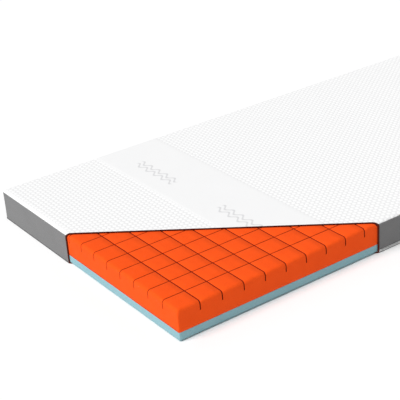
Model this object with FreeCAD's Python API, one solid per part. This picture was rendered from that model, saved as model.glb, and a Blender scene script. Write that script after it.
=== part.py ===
import FreeCAD, Part
import math
import os

# Memory foam mattress with a two-layer core and a zipped cover, shown with one
# corner of the cover cut away. Millimetres. The origin is at the middle of the
# underside: +X runs along the length to the head end, +Y across the width to the
# back side, +Z up. The cut-away corner is at the foot end on the front side.

# Cover, outside faces
cover_length = 2000.0
cover_width = 900.0
corner_radius = 8.0          # standing corners
roll_radius = 12.5           # rolled edge between the top and the sides
top_thick = 3.6
border_thick = 1.3
underside_thick = 4.0

# Foam core
core_inset = 3.5             # from the cover's outside faces to the core
core_corner_radius = 4.0
comfort_edge_radius = 9.0
support_thick = 21.8
bond_thick = 0.3
bond_inset = 1.0             # from the foam's sides to the bond's
comfort_thick = 63.1
top_gap = 0.2                # between the comfort foam and the top panel

# Saw slits in the comfort foam
slit_depth = 25.2
cross_slit_width = 3.4       # slits that run across the width
long_slit_width = 2.2        # slits that run along the length
cells_along = 30
cells_across = 14

# Seams and hems of the border
top_seam_drop = 7.0          # seam below the cover's top face
hem_height = 9.2             # hem above the zip
foot_hem_height = 0.8        # the foot end has no zip
foot_strip_return = 25.0     # the foot strip turns this far round its corners
head_strip_return = 9.0

# Cut-away corner of the cover: a standing plane across the near corner
cut_along_front = 648.0      # from the foot end to the cut, on the front side
cut_along_foot = 524.0       # from the front side to the cut, on the foot end
binding_width = 2.0
cut_overreach = 1.5          # how far the cut runs on past the corner it takes off

# Underside panel
lip_height = 2.8             # its edge turns up to the lower zip tape
lip_inset = 0.3
step_inset = 3.4
foot_edge_inset = 1.5

# Zip: a coil chain on two tapes, along the front, head end and back side
chain_inset = 0.8            # middle of the chain, from the cover's outside faces
chain_height = 6.0
chain_thick = 2.2
tape_thick = 0.6
coil_height = 1.65
coil_gap = 0.9               # between the two rows of coils
zip_start_x = -975.0
stop_length = 3.0
stop_gap = 1.5

# Zip slider, parked at the closed end of the zip
slider_x = -958.0
slider_length = 10.0
slider_height = 5.8
slider_end_radius = 1.2
plate_thick = 0.8
flange_thick = 0.6
slider_play = 0.3
neck_length = 2.4
neck_thick = 0.5
neck_setback = 0.4
bridge_span = 7.6
bridge_width = 1.6
bridge_post = 1.2
bridge_gap = 1.5
bridge_thick = 0.8
bridge_corner_radius = 1.0
bridge_overlap = 0.2         # sunk into the slider's plate

# Pull tab
tab_thick = 1.0
tab_arm_width = 1.0
tab_window = 6.0             # from the crossbar to the tab's plate
tab_plate_length = 21.0
tab_width = 4.8
tab_end_radius = 2.3
tab_hole_radius = 1.1

# Care label, sewn in at the hem on the back side
label_x = 760.0
label_width = 32.0
label_height = 44.0
label_thick = 0.4
label_foot = 10.0

half_length = cover_length / 2
half_width = cover_width / 2
support_low = underside_thick
support_high = support_low + support_thick
comfort_low = support_high + bond_thick
comfort_high = comfort_low + comfort_thick
cover_height = comfort_high + top_gap + top_thick
top_seam_height = cover_height - top_seam_drop
chain_y = half_width - chain_inset
far = 3000.0


def edges_along(shape, axis, height=None):
    # straight edges along one axis, or only those at one height
    found = []
    for edge in shape.Edges:
        line = edge.lastVertex().Point.sub(edge.firstVertex().Point)
        if abs(line.normalize().dot(axis)) < 0.999:
            continue
        if height is None or abs(edge.BoundBox.ZMin - height) < 1e-6:
            found.append(edge)
    return found


def box(low, high):
    size = [b - a for a, b in zip(low, high)]
    return Part.makeBox(*size, FreeCAD.Vector(*low))


def plan_block(inset, low, high, radius):
    # a block that follows the cover's outline in plan
    x = half_length - inset
    y = half_width - inset
    block = box((-x, -y, low), (x, y, high))
    return block.makeFillet(radius, edges_along(block, FreeCAD.Vector(0, 0, 1)))


def rolled_block(inset, low, high, radius, roll):
    # the same block with its four top edges rolled over
    x = half_length - inset
    y = half_width - inset
    block = box((-x, -y, low), (x, y, high))
    rims = edges_along(block, FreeCAD.Vector(1, 0, 0), high)
    rims += edges_along(block, FreeCAD.Vector(0, 1, 0), high)
    return block.makeFillet(roll, rims).common(plan_block(inset, low, high, radius))


def outline_ring(inset, thickness, low, high):
    # a band of one thickness that follows the cover's sides
    outer = plan_block(inset, low, high, corner_radius - inset)
    inner = plan_block(inset + thickness, low - 1, high + 1, corner_radius - inset - thickness)
    return outer.cut(inner)


def cut_corner(setback):
    # everything on the near side of the cut plane, moved into the cover by setback
    slope = math.hypot(cut_along_front, cut_along_foot)
    reach_x = cut_along_front + setback * slope / cut_along_foot
    reach_y = cut_along_foot + setback * slope / cut_along_front
    near_x = -half_length + reach_x * (1 - cut_overreach)
    near_y = -half_width + reach_y * (1 - cut_overreach)
    stretch = 2 * cut_overreach - 1
    points = [
        FreeCAD.Vector(near_x, near_y, -far),
        FreeCAD.Vector(near_x + reach_x * stretch, near_y, -far),
        FreeCAD.Vector(near_x, near_y + reach_y * stretch, -far),
    ]
    face = Part.Face(Part.makePolygon(points + points[:1]))
    return face.extrude(FreeCAD.Vector(0, 0, 2 * far))


def cover_shell():
    outer = rolled_block(0, 0, cover_height, corner_radius, roll_radius)
    inner = rolled_block(border_thick, underside_thick, cover_height - top_thick,
                         corner_radius - border_thick, roll_radius - border_thick)
    return outer.cut(inner)


def between(shape, low_x, high_x, low_z, high_z, low_y=-far, high_y=far):
    return shape.common(box((low_x, low_y, low_z), (high_x, high_y, high_z)))


def comfort_foam():
    block = rolled_block(core_inset, comfort_low, comfort_high, core_corner_radius, comfort_edge_radius)
    core_x = half_length - core_inset
    core_y = half_width - core_inset
    floor = comfort_high - slit_depth
    slits = []
    for i in range(1, cells_along):
        x = -core_x + 2 * core_x * i / cells_along
        slits.append(box((x - cross_slit_width / 2, -far, floor), (x + cross_slit_width / 2, far, far)))
    for i in range(1, cells_across):
        y = -core_y + 2 * core_y * i / cells_across
        slits.append(box((-far, y - long_slit_width / 2, floor), (far, y + long_slit_width / 2, far)))
    return block.cut(slits)


def support_foam():
    return plan_block(core_inset, support_low, support_high, core_corner_radius)


def foam_bond_film():
    return plan_block(core_inset + bond_inset, support_high, comfort_low, core_corner_radius)


def cover_pieces():
    shell = cover_shell()
    bare = shell.cut(cut_corner(binding_width))
    front = -half_width + corner_radius
    foot = -half_length + foot_strip_return
    head = half_length - head_strip_return
    pieces = {}
    pieces["cover_top_panel"] = between(bare, -far, far, top_seam_height, far)
    pieces["border_foot"] = between(bare, -far, foot, foot_hem_height, top_seam_height)
    pieces["border_head"] = between(bare, head, far, hem_height, top_seam_height)
    pieces["border_front"] = between(bare, foot, head, hem_height, top_seam_height, high_y=front)
    pieces["border_back"] = between(bare, foot, head, hem_height, top_seam_height, low_y=-front)
    edge = shell.cut(cut_corner(0)).common(cut_corner(binding_width))
    pieces["cutaway_edge_binding"] = edge
    for name in ("border_foot", "border_head", "border_front", "border_back"):
        pieces[name] = pieces[name].cut(underside_block())
    return pieces


def underside_block():
    # the shell's own floor, which the underside panel takes the place of
    return plan_block(border_thick, -1, underside_thick, corner_radius - border_thick)


def cover_underside_panel():
    base = plan_block(foot_edge_inset, 0, lip_height, corner_radius - foot_edge_inset)
    lip = plan_block(lip_inset, 0, lip_height, corner_radius - lip_inset)
    lip = between(lip, zip_start_x, far, 0, lip_height)
    step = plan_block(step_inset, 0, underside_thick, corner_radius - step_inset)
    return base.fuse([lip, step]).removeSplitter().cut(cut_corner(binding_width))


def zip_band(thickness, low, high):
    # a band of the zip: front side from the cut, head end, and back side
    ring = outline_ring(chain_inset - thickness / 2, thickness, low, high)
    ring = between(ring, zip_start_x, far, low, high)
    return ring.cut(cut_corner(binding_width))


def zip_pieces():
    lower_coil_high = chain_height - coil_gap / 2
    lower_coil_low = lower_coil_high - coil_height
    upper_coil_low = chain_height + coil_gap / 2
    upper_coil_high = upper_coil_low + coil_height
    return {
        "zip_tape_lower": zip_band(tape_thick, lip_height, lower_coil_low),
        "zip_coil_lower": zip_band(chain_thick, lower_coil_low, lower_coil_high),
        "zip_coil_upper": zip_band(chain_thick, upper_coil_low, upper_coil_high),
        "zip_tape_upper": zip_band(tape_thick, upper_coil_high, hem_height),
    }


def zip_end_stops(coils):
    # two crimped stops in place of the coils' first few millimetres, one on each row
    low_x = zip_start_x + stop_gap
    high_x = low_x + stop_length
    stops = []
    for coil in coils:
        row = coil.BoundBox
        stops.append(box((low_x, chain_y - chain_thick / 2, row.ZMin), (high_x, chain_y + chain_thick / 2, row.ZMax)))
    return stops


def zip_slider_body():
    bottom = chain_height - slider_height / 2
    top = chain_height + slider_height / 2
    channel_back = chain_y - chain_thick / 2 - slider_play
    channel_front = chain_y + chain_thick / 2 + slider_play
    low_x = slider_x - slider_length / 2
    high_x = slider_x + slider_length / 2
    body = box((low_x, channel_back - plate_thick, bottom), (high_x, channel_front + plate_thick, top))
    body = body.makeFillet(slider_end_radius, edges_along(body, FreeCAD.Vector(0, 1, 0)))
    channel = box((low_x - 1, channel_back, bottom + flange_thick), (high_x + 1, channel_front, top - flange_thick))
    slot_half = tape_thick / 2 + slider_play
    slot = box((low_x - 1, chain_y - slot_half, bottom - 1), (high_x + 1, chain_y + slot_half, top + 1))
    neck = box((high_x - neck_length, channel_back - plate_thick / 2, chain_height - neck_thick / 2),
               (high_x - neck_setback, channel_front + plate_thick / 2, chain_height + neck_thick / 2))
    return body.cut([channel, slot]).fuse([neck, slider_bridge(channel_front + plate_thick)]).removeSplitter()


def slider_bridge(face_y):
    low = chain_height - bridge_width / 2
    high = chain_height + bridge_width / 2
    low_x = slider_x - bridge_span / 2
    high_x = slider_x + bridge_span / 2
    arch = box((low_x, face_y - bridge_overlap, low), (high_x, face_y + bridge_gap + bridge_thick, high))
    rims = [e for e in edges_along(arch, FreeCAD.Vector(0, 0, 1)) if e.BoundBox.YMin > face_y]
    arch = arch.makeFillet(bridge_corner_radius, rims)
    space = box((low_x + bridge_post, face_y, low - 1), (high_x - bridge_post, face_y + bridge_gap, high + 1))
    return arch.cut(space)


def pull_axis_y():
    face_y = chain_y + chain_thick / 2 + slider_play + plate_thick
    return face_y + bridge_gap / 2


def zip_pull_tab():
    y = pull_axis_y()
    bottom = chain_height - tab_width / 2
    top = chain_height + tab_width / 2
    bar = Part.makeCylinder(tab_thick / 2, tab_width, FreeCAD.Vector(slider_x, y, bottom))
    back = y - tab_thick / 2
    front = y + tab_thick / 2
    window_end = slider_x + tab_window
    end = window_end + tab_plate_length
    frame = box((slider_x, back, bottom), (end, front, top))
    corners = [e for e in edges_along(frame, FreeCAD.Vector(0, 1, 0)) if e.BoundBox.XMin > slider_x + 1]
    frame = frame.makeFillet(tab_end_radius, corners)
    window = box((slider_x - 1, back - 1, bottom + tab_arm_width), (window_end, front + 1, top - tab_arm_width))
    hole = Part.makeCylinder(tab_hole_radius, 2 * tab_width,
                             FreeCAD.Vector(end - 2 * tab_end_radius, y - tab_width, chain_height),
                             FreeCAD.Vector(0, 1, 0))
    return frame.cut([window, hole]).fuse(bar).removeSplitter()


def care_label():
    return box((label_x, half_width, label_foot), (label_x + label_width, half_width + label_thick,
                                                   label_foot + label_height))


def all_nodes():
    nodes = {
        "comfort_foam": comfort_foam(),
        "support_foam": support_foam(),
        "foam_bond_film": foam_bond_film(),
        "cover_underside_panel": cover_underside_panel(),
    }
    nodes.update(cover_pieces())
    zips = zip_pieces()
    stops = zip_end_stops([zips["zip_coil_lower"], zips["zip_coil_upper"]])
    for name in ("zip_coil_lower", "zip_coil_upper"):
        zips[name] = between(zips[name], zip_start_x + stop_gap + stop_length, far, 0, far, 0).fuse(
            between(zips[name], -half_length, far, 0, far, high_y=0)).removeSplitter()
    nodes.update(zips)
    nodes["zip_end_stops"] = Part.makeCompound(stops)
    nodes["zip_slider_body"] = zip_slider_body()
    nodes["zip_pull_tab"] = zip_pull_tab()
    nodes["care_label"] = care_label()
    return nodes


os.makedirs("parts", exist_ok=True)
for name, shape in all_nodes().items():
    solids = shape.Solids
    shape.exportStep("parts/" + name + ".step")
    size = shape.BoundBox
    print(name, len(solids), "solids", round(shape.Volume / 1000, 2), "cm3", shape.isValid(),
          [round(v, 2) for v in (size.XMin, size.XMax, size.YMin, size.YMax, size.ZMin, size.ZMax)])
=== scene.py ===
import math
import bpy
import numpy as np
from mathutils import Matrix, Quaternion, Vector


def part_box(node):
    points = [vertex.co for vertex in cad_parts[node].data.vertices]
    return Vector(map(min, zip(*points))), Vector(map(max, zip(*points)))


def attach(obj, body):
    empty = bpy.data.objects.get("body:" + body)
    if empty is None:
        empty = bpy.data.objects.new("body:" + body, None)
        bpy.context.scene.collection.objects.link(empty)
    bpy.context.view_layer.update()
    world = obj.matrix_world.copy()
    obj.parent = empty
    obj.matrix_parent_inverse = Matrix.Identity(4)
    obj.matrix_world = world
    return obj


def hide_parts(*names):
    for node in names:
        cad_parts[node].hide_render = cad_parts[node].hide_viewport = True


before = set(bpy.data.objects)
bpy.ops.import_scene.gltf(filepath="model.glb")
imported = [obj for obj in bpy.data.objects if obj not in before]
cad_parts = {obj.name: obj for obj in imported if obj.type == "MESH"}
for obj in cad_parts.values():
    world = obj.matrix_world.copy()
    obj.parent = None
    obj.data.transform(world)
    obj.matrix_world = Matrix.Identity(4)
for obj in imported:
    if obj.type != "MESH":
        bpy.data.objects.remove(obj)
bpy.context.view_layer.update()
print("frame loaded:", len(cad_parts), "nodes")



def addObject(name, data):
    made = bpy.data.objects.new(name, data)
    bpy.context.scene.collection.objects.link(made)
    return made


# camera at the display's three-quarter view
cameraView = {
    "azimuth": -33.975,
    "elevation": 26.179,
    "roll": -4.362,
    "aim": (-0.6221, -0.0226, 0.0976),
    "distance": 3.2,
    "lens": 103.53,
    "sensor": 36.0,
}


def makeCamera():
    azimuth, elevation = math.radians(cameraView["azimuth"]), math.radians(cameraView["elevation"])
    level = math.cos(elevation)
    back = Vector((math.sin(azimuth) * level, -math.cos(azimuth) * level, math.sin(elevation)))
    data = bpy.data.cameras.new("camera")
    data.lens = cameraView["lens"]
    data.sensor_width = cameraView["sensor"]
    camera = addObject("camera", data)
    camera.location = Vector(cameraView["aim"]) + back * cameraView["distance"]
    camera.rotation_mode = "QUATERNION"
    roll = Quaternion((0, 0, 1), math.radians(cameraView["roll"]))
    camera.rotation_quaternion = (-back).to_track_quat("-Z", "Y") @ roll
    bpy.context.scene.camera = camera


makeCamera()

# what the whole cover shares; lengths in metres, heights from the floor
cover = {
    "cornerRadius": 0.0125,
    "rollRadius": 0.0125,
    "topThick": 0.0036,
    "borderThick": 0.0012,
    "cutAlongFront": 0.648,
    "cutAlongFoot": 0.524,
    "bindingWidth": 0.002,
    "zipStart": -0.975,
    "footStripReturn": 0.025,
}
halfLength = -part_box("border_foot")[0].x
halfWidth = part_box("border_back")[1].y
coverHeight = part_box("cover_top_panel")[1].z
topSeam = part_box("cover_top_panel")[0].z
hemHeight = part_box("border_back")[0].z
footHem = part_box("border_foot")[0].z
mattress = "mattress"

# the cut-away plane stands across the near corner
cutDirection = np.array([cover["cutAlongFront"], -cover["cutAlongFoot"]])
cutLength = float(np.linalg.norm(cutDirection))
cutDirection = cutDirection / cutLength
cutInward = np.array([-cutDirection[1], cutDirection[0]])
cutFoot = np.array([-halfLength, -halfWidth + cover["cutAlongFoot"]])


def fromCut(points, setback=0.0):
    # distance into the cover from the cut plane moved inwards by setback
    return (np.asarray(points)[..., :2] - cutFoot) @ cutInward - setback


def softNoise(u, v, size, seed):
    # smooth noise from -1 to 1 over a plane
    grid = np.random.default_rng(seed).uniform(-1, 1, (64, 64))
    a, b = np.asarray(u) / size, np.asarray(v) / size
    i, j = np.floor(a).astype(int), np.floor(b).astype(int)
    f, g = a - i, b - j
    f, g = f * f * (3 - 2 * f), g * g * (3 - 2 * g)
    low = grid[i % 64, j % 64] * (1 - f) + grid[(i + 1) % 64, j % 64] * f
    high = grid[i % 64, (j + 1) % 64] * (1 - f) + grid[(i + 1) % 64, (j + 1) % 64] * f
    return low * (1 - g) + high * g


def makeObject(name, points, faces, material):
    mesh = bpy.data.meshes.new(name)
    mesh.from_pydata([tuple(p) for p in np.asarray(points).tolist()], [], [list(f) for f in faces])
    mesh.validate()
    mesh.materials.append(material)
    mesh.polygons.foreach_set("use_smooth", [True] * len(mesh.polygons))
    return addObject(name, mesh)


def ringFaces(rings, count, stacked=False, closed=False):
    # faces between rings of count points each, and over both ends of an open run
    corners = ((0, 0), (0, 1), (1, 1), (1, 0)) if stacked else ((0, 0), (1, 0), (1, 1), (0, 1))
    faces = [tuple((i + a) % rings * count + (k + b) % count for a, b in corners)
             for i in range(rings if closed else rings - 1) for k in range(count)]
    if not closed:
        ends = [tuple(range(count)), tuple(range(rings * count - 1, (rings - 1) * count - 1, -1))]
        faces += [end[::-1] for end in ends] if stacked else ends
    return faces


def fixTo(piece):
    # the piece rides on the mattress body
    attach(piece, mattress)
    return piece


def finishPiece(piece, node):
    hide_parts(node)
    return fixTo(piece)


# nodes shared by the shader and geometry trees
def link(tree, source, target):
    if isinstance(source, (int, float, tuple)):
        target.default_value = source
    else:
        tree.links.new(source, target)


def mathNode(tree, operation, a, b=None, c=None):
    node = tree.nodes.new("ShaderNodeMath")
    node.operation = operation
    for socket, value in zip(node.inputs, (a, b, c)):
        if value is not None:
            link(tree, value, socket)
    return node.outputs[0]


def times(tree, a, b):
    return mathNode(tree, "MULTIPLY", a, b)


def timesPlus(tree, a, b, c):
    return mathNode(tree, "MULTIPLY_ADD", a, b, c)


def rampNode(tree, value, low, high, toLow=0.0, toHigh=1.0):
    node = tree.nodes.new("ShaderNodeMapRange")
    node.interpolation_type = "SMOOTHSTEP"
    for label, number in (("Value", value), ("From Min", low), ("From Max", high),
                          ("To Min", toLow), ("To Max", toHigh)):
        link(tree, number, node.inputs[label])
    return node.outputs["Result"]


def noiseNode(tree, point, scale, detail=2.0):
    noise = tree.nodes.new("ShaderNodeTexNoise")
    link(tree, point, noise.inputs["Vector"])
    noise.inputs["Scale"].default_value = scale
    noise.inputs["Detail"].default_value = detail
    return noise.outputs["Fac"]


def splitPoint(tree, point):
    parts = tree.nodes.new("ShaderNodeSeparateXYZ")
    link(tree, point, parts.inputs[0])
    return parts.outputs


def groupNode(tree, group, values):
    node = tree.nodes.new("ShaderNodeGroup")
    node.node_tree = group
    for label, value in values.items():
        link(tree, value, node.inputs[label])
    return node.outputs


def mixColour(tree, share, low, high):
    mix = tree.nodes.new("ShaderNodeMix")
    mix.data_type = "RGBA"
    link(tree, share, mix.inputs["Factor"])
    link(tree, low, mix.inputs[6])
    link(tree, high, mix.inputs[7])
    return mix.outputs[2]


def latticeNodes(tree, x, y, columnPitch, rowPitch, drop):
    # three waves that meet in a leaning grid of small pillows, from -0.5 to 1
    turn = 2 * math.pi
    across = times(tree, mathNode(tree, "DIVIDE", x, columnPitch), turn)
    lean = times(tree, across, drop)
    along = timesPlus(tree, mathNode(tree, "DIVIDE", y, rowPitch), turn, lean)
    total = mathNode(tree, "ADD", mathNode(tree, "COSINE", across), mathNode(tree, "COSINE", along))
    third = mathNode(tree, "COSINE", mathNode(tree, "SUBTRACT", across, along))
    return mathNode(tree, "DIVIDE", mathNode(tree, "ADD", total, third), 3.0)


def newTree(name, kind, inputs, outputs):
    tree = bpy.data.node_groups.new(name, kind)
    for label, socketType, value in inputs:
        socket = tree.interface.new_socket(label, in_out="INPUT", socket_type=socketType)
        if value is not None:
            socket.default_value = value
    for label, socketType in outputs:
        tree.interface.new_socket(label, in_out="OUTPUT", socket_type=socketType)
    return tree, tree.nodes.new("NodeGroupInput").outputs, tree.nodes.new("NodeGroupOutput").inputs


geometry, number = "NodeSocketGeometry", "NodeSocketFloat"
vector, colour = "NodeSocketVector", "NodeSocketColor"


# cloth: two sets of threads over and under each other, painted darker where they dip as shade, with slubs and
# a mottled tint
def makeClothGroup():
    tree, given, made = newTree(
        "clothWeave", "ShaderNodeTree",
        [("Vector", vector, None), ("Thread", number, 0.0007), ("Light", colour, None),
         ("Dark", colour, None), ("Mottle", number, 0.4)],
        [("Color", colour), ("Height", number)])
    x, y, _ = splitPoint(tree, given["Vector"])
    turns = mathNode(tree, "DIVIDE", math.pi, given["Thread"])
    warp = mathNode(tree, "SINE", times(tree, x, turns))
    weft = mathNode(tree, "SINE", times(tree, y, turns))
    crossing = times(tree, warp, weft)
    height = timesPlus(tree, crossing, 0.5, 0.5)
    slub = noiseNode(tree, given["Vector"], 420.0, 3.0)
    cloud = noiseNode(tree, given["Vector"], 14.0)
    mottle = times(tree, slub, given["Mottle"])
    # low places of the weave take the darker tone: painted shade between the threads
    share = timesPlus(tree, height, 0.35, mottle)
    share = timesPlus(tree, cloud, 0.25, share)
    link(tree, mixColour(tree, share, given["Dark"], given["Light"]), made["Color"])
    link(tree, timesPlus(tree, slub, 0.4, height), made["Height"])
    return tree


# open-cell foam: small round pores in two sizes, painted darker inside as shade, and a cloudy tint
def makeFoamGroup():
    tree, given, made = newTree(
        "foamCells", "ShaderNodeTree",
        [("Vector", vector, None), ("Light", colour, None), ("Dark", colour, None), ("Cells", number, 700.0)],
        [("Color", colour), ("Height", number), ("Roughness", number)])
    fields = []
    for factor in (1.0, 0.37):
        cells = tree.nodes.new("ShaderNodeTexVoronoi")
        link(tree, given["Vector"], cells.inputs["Vector"])
        link(tree, times(tree, given["Cells"], factor), cells.inputs["Scale"])
        fields.append(cells.outputs["Distance"])
    small = times(tree, rampNode(tree, fields[0], 0.1, 0.6), 0.5)
    pores = timesPlus(tree, rampNode(tree, fields[1], 0.12, 0.42), 0.5, small)
    cloud = noiseNode(tree, given["Vector"], 22.0, 4.0)
    # the pores pull the colour toward the dark tone: painted shade inside them
    share = timesPlus(tree, cloud, 0.5, times(tree, pores, 0.6))
    link(tree, mixColour(tree, share, given["Dark"], given["Light"]), made["Color"])
    link(tree, pores, made["Height"])
    link(tree, timesPlus(tree, pores, -0.1, 0.98), made["Roughness"])
    return tree


clothGroup = makeClothGroup()
foamGroup = makeFoamGroup()


def startMaterial(name, roughness, sheen=0.0, metallic=0.0):
    material = bpy.data.materials.new(name)
    material.use_nodes = True
    tree = material.node_tree
    shader = tree.nodes["Principled BSDF"]
    shader.inputs["Roughness"].default_value = roughness
    shader.inputs["Sheen Weight"].default_value = sheen
    shader.inputs["Metallic"].default_value = metallic
    shader.inputs["Sheen Roughness"].default_value = 0.5
    shader.inputs["Specular IOR Level"].default_value = 0.5 if roughness < 0.6 else 0.15
    return material, tree, shader


def bumpNode(tree, shader, height, depth, strength=1.0):
    bump = tree.nodes.new("ShaderNodeBump")
    bump.inputs["Strength"].default_value = strength
    bump.inputs["Distance"].default_value = depth
    link(tree, height, bump.inputs["Height"])
    link(tree, bump.outputs["Normal"], shader.inputs["Normal"])


def objectPoint(tree):
    return tree.nodes.new("ShaderNodeTexCoord").outputs["Object"]


def sidePoint(tree):
    # places on an upright face: along the side, then up it
    x, y, z = splitPoint(tree, objectPoint(tree))
    joined = tree.nodes.new("ShaderNodeCombineXYZ")
    link(tree, mathNode(tree, "ADD", x, y), joined.inputs[0])
    link(tree, z, joined.inputs[1])
    return joined.outputs[0]


def clothMaterial(name, light, dark, thread, mottle, depth, upright=True, roughness=0.9, sheen=0.15):
    material, tree, shader = startMaterial(name, roughness, sheen)
    point = sidePoint(tree) if upright else objectPoint(tree)
    cloth = groupNode(tree, clothGroup, {
        "Vector": point, "Thread": thread, "Light": (*light, 1), "Dark": (*dark, 1), "Mottle": mottle})
    link(tree, cloth["Color"], shader.inputs["Base Color"])
    bumpNode(tree, shader, cloth["Height"], depth)
    return material


def foamMaterial(name, light, dark, cells, depth, cut=None):
    material, tree, shader = startMaterial(name, 0.95)
    foam = groupNode(tree, foamGroup, {
        "Vector": objectPoint(tree), "Light": (*light, 1), "Dark": (*dark, 1), "Cells": cells})
    tint = foam["Color"]
    # the slit walls and floors take the dark red-brown given as cut: painted shade in the slits
    if cut is not None:
        walls = tree.nodes.new("ShaderNodeAttribute")
        walls.attribute_name = "paintedSlitShade"
        tint = mixColour(tree, walls.outputs["Fac"], tint, (*cut, 1))
    link(tree, tint, shader.inputs["Base Color"])
    link(tree, foam["Roughness"], shader.inputs["Roughness"])
    bumpNode(tree, shader, foam["Height"], depth)
    return material


# the knit top: pillows in a leaning grid, and a plain band across with a woven wave motif
knit = {
    "columnPitch": 0.0129,
    "rowPitch": 0.0155,
    "drop": 0.4,
    "pillowDepth": 0.0008,
    "bandStart": -0.678,
    "bandEnd": -0.460,
    "bandSoftness": 0.007,
    "white": (0.97, 0.97, 0.968),
    # grey painted into the grooves between the pillows as shade
    "grooveShade": (0.74, 0.74, 0.75),
    "bandTint": (0.90, 0.90, 0.902),
    "motifGrey": (0.66, 0.66, 0.67),
    "motifX": -0.603,
    "motifCentres": (0.223, -0.181),
    "motifLength": 0.200,
    "motifSwing": 0.0075,
    "motifWave": 0.040,
    "motifStroke": 0.0046,
    "motifGap": 0.0088,
    "motifFade": 0.01,
    # grey for a cloudy uneven tone and for painted shade between the knit loops
    "cloudAndLoopShade": (0.62, 0.63, 0.66),
    "loopWidth": 0.0021,
    "loopHeight": 0.0016,
}


def bandMask(tree, x):
    # 1 on the knit, 0 on the plain band
    soft = knit["bandSoftness"]
    before = rampNode(tree, x, knit["bandStart"] - soft, knit["bandStart"] + soft, 1.0, 0.0)
    after = rampNode(tree, x, knit["bandEnd"] - soft, knit["bandEnd"] + soft)
    return mathNode(tree, "MAXIMUM", before, after)


def motifMask(tree, x, y):
    # two leaning wave strokes in each mark
    turns = 2 * math.pi / knit["motifWave"]
    marks = []
    for centre in knit["motifCentres"]:
        along = mathNode(tree, "SUBTRACT", y, centre)
        half = knit["motifLength"] / 2
        ends = rampNode(tree, mathNode(tree, "ABSOLUTE", along), half - knit["motifFade"], half, 1.0, 0.0)
        for shift in (-knit["motifGap"], knit["motifGap"]):
            wave = mathNode(tree, "SINE", times(tree, along, turns))
            middle = timesPlus(tree, wave, knit["motifSwing"], knit["motifX"] + shift)
            away = mathNode(tree, "ABSOLUTE", mathNode(tree, "SUBTRACT", x, middle))
            stroke = rampNode(tree, away, knit["motifStroke"] * 0.5, knit["motifStroke"], 1.0, 0.0)
            marks.append(times(tree, stroke, ends))
    total = marks[0]
    for mark in marks[1:]:
        total = mathNode(tree, "MAXIMUM", total, mark)
    return total


def knitMaterial():
    material, tree, shader = startMaterial("whiteKnit", 0.88, 0.25)
    point = objectPoint(tree)
    x, y, _ = splitPoint(tree, point)
    pillows = latticeNodes(tree, x, y, knit["columnPitch"], knit["rowPitch"], knit["drop"])
    onKnit = bandMask(tree, x)
    grooves = times(tree, rampNode(tree, pillows, -0.45, 0.15, 1.0, 0.0), onKnit)
    loops = latticeNodes(tree, x, y, knit["loopWidth"], knit["loopHeight"], 0.5)
    fuzz = noiseNode(tree, point, 900.0)
    cloud = noiseNode(tree, point, 9.0)
    base = mixColour(tree, onKnit, (*knit["bandTint"], 1), (*knit["white"], 1))
    # the grooves between the pillows are painted greyer: painted shade in the creases
    base = mixColour(tree, times(tree, grooves, 0.55), base, (*knit["grooveShade"], 1))
    motif = times(tree, motifMask(tree, x, y), 0.8)
    base = mixColour(tree, motif, base, (*knit["motifGrey"], 1))
    # a cloudy uneven tone over the knit, and painted shade between the knit loops
    shade = timesPlus(tree, cloud, 0.06, times(tree, loops, -0.03))
    base = mixColour(tree, shade, base, (*knit["cloudAndLoopShade"], 1))
    link(tree, base, shader.inputs["Base Color"])
    height = timesPlus(tree, grooves, -1.0, times(tree, loops, 0.22))
    height = timesPlus(tree, fuzz, 0.12, height)
    bumpNode(tree, shader, height, 0.0006, 0.8)
    return material


def metalMaterial():
    material, tree, shader = startMaterial("nickelPlate", 0.32, metallic=1.0)
    noise = noiseNode(tree, objectPoint(tree), 900.0, 5.0)
    tint = mixColour(tree, noise, (0.60, 0.60, 0.61, 1), (0.74, 0.74, 0.75, 1))
    link(tree, tint, shader.inputs["Base Color"])
    link(tree, timesPlus(tree, noise, 0.25, 0.22), shader.inputs["Roughness"])
    bumpNode(tree, shader, noise, 0.00005)
    return material


# each cloth: name, light and dark tones (the dark one also painted shade where the weave dips), thread width,
# mottling, bump depth, and what differs
cloths = {
    "border_grey": ("greyBorderCloth", (0.235, 0.235, 0.236), (0.12, 0.12, 0.122), 0.0009, 0.5, 0.0002, {}),
    "underside_white": ("whiteUnderside", (0.95, 0.95, 0.945), (0.82, 0.82, 0.82), 0.0012, 0.3, 0.0003,
                        {"upright": False}),
    # the binding's dark red-brown is painted shade, the tone of the shade line along the cut edge
    "binding_dark": ("shadeToneBinding", (0.13, 0.016, 0.007), (0.040, 0.007, 0.004), 0.0008, 0.4, 0.0002,
                     {"sheen": 0.0}),
    # dark piping drawn as painted shade lines under the hem and at the floor
    "piping_painted_shade": ("shadeLinePiping", (0.060, 0.060, 0.062), (0.022, 0.022, 0.023), 0.0006, 0.4, 0.0001, {}),
    "zip_tape": ("whiteZipTape", (0.95, 0.95, 0.945), (0.80, 0.80, 0.80), 0.0005, 0.3, 0.0001, {}),
    "label_satin": ("satinLabel", (0.90, 0.90, 0.89), (0.80, 0.80, 0.79), 0.0004, 0.2, 0.00005,
                    {"roughness": 0.5}),
    "bond_film": ("bondFilm", (0.80, 0.79, 0.72), (0.62, 0.60, 0.52), 0.004, 0.6, 0.0001,
                  {"upright": False, "roughness": 0.5}),
    "zip_coil": ("nylonCoil", (0.88, 0.88, 0.87), (0.74, 0.74, 0.735), 0.0006, 0.2, 0.00003,
                 {"roughness": 0.35, "sheen": 0.0}),
    "thread": ("greyThread", (0.36, 0.36, 0.362), (0.2, 0.2, 0.202), 0.0003, 0.3, 0.00005, {}),
}
finishes = {slot: clothMaterial(*values[:-1], **values[-1]) for slot, values in cloths.items()}
finishes["knit_white"] = knitMaterial()
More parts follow.
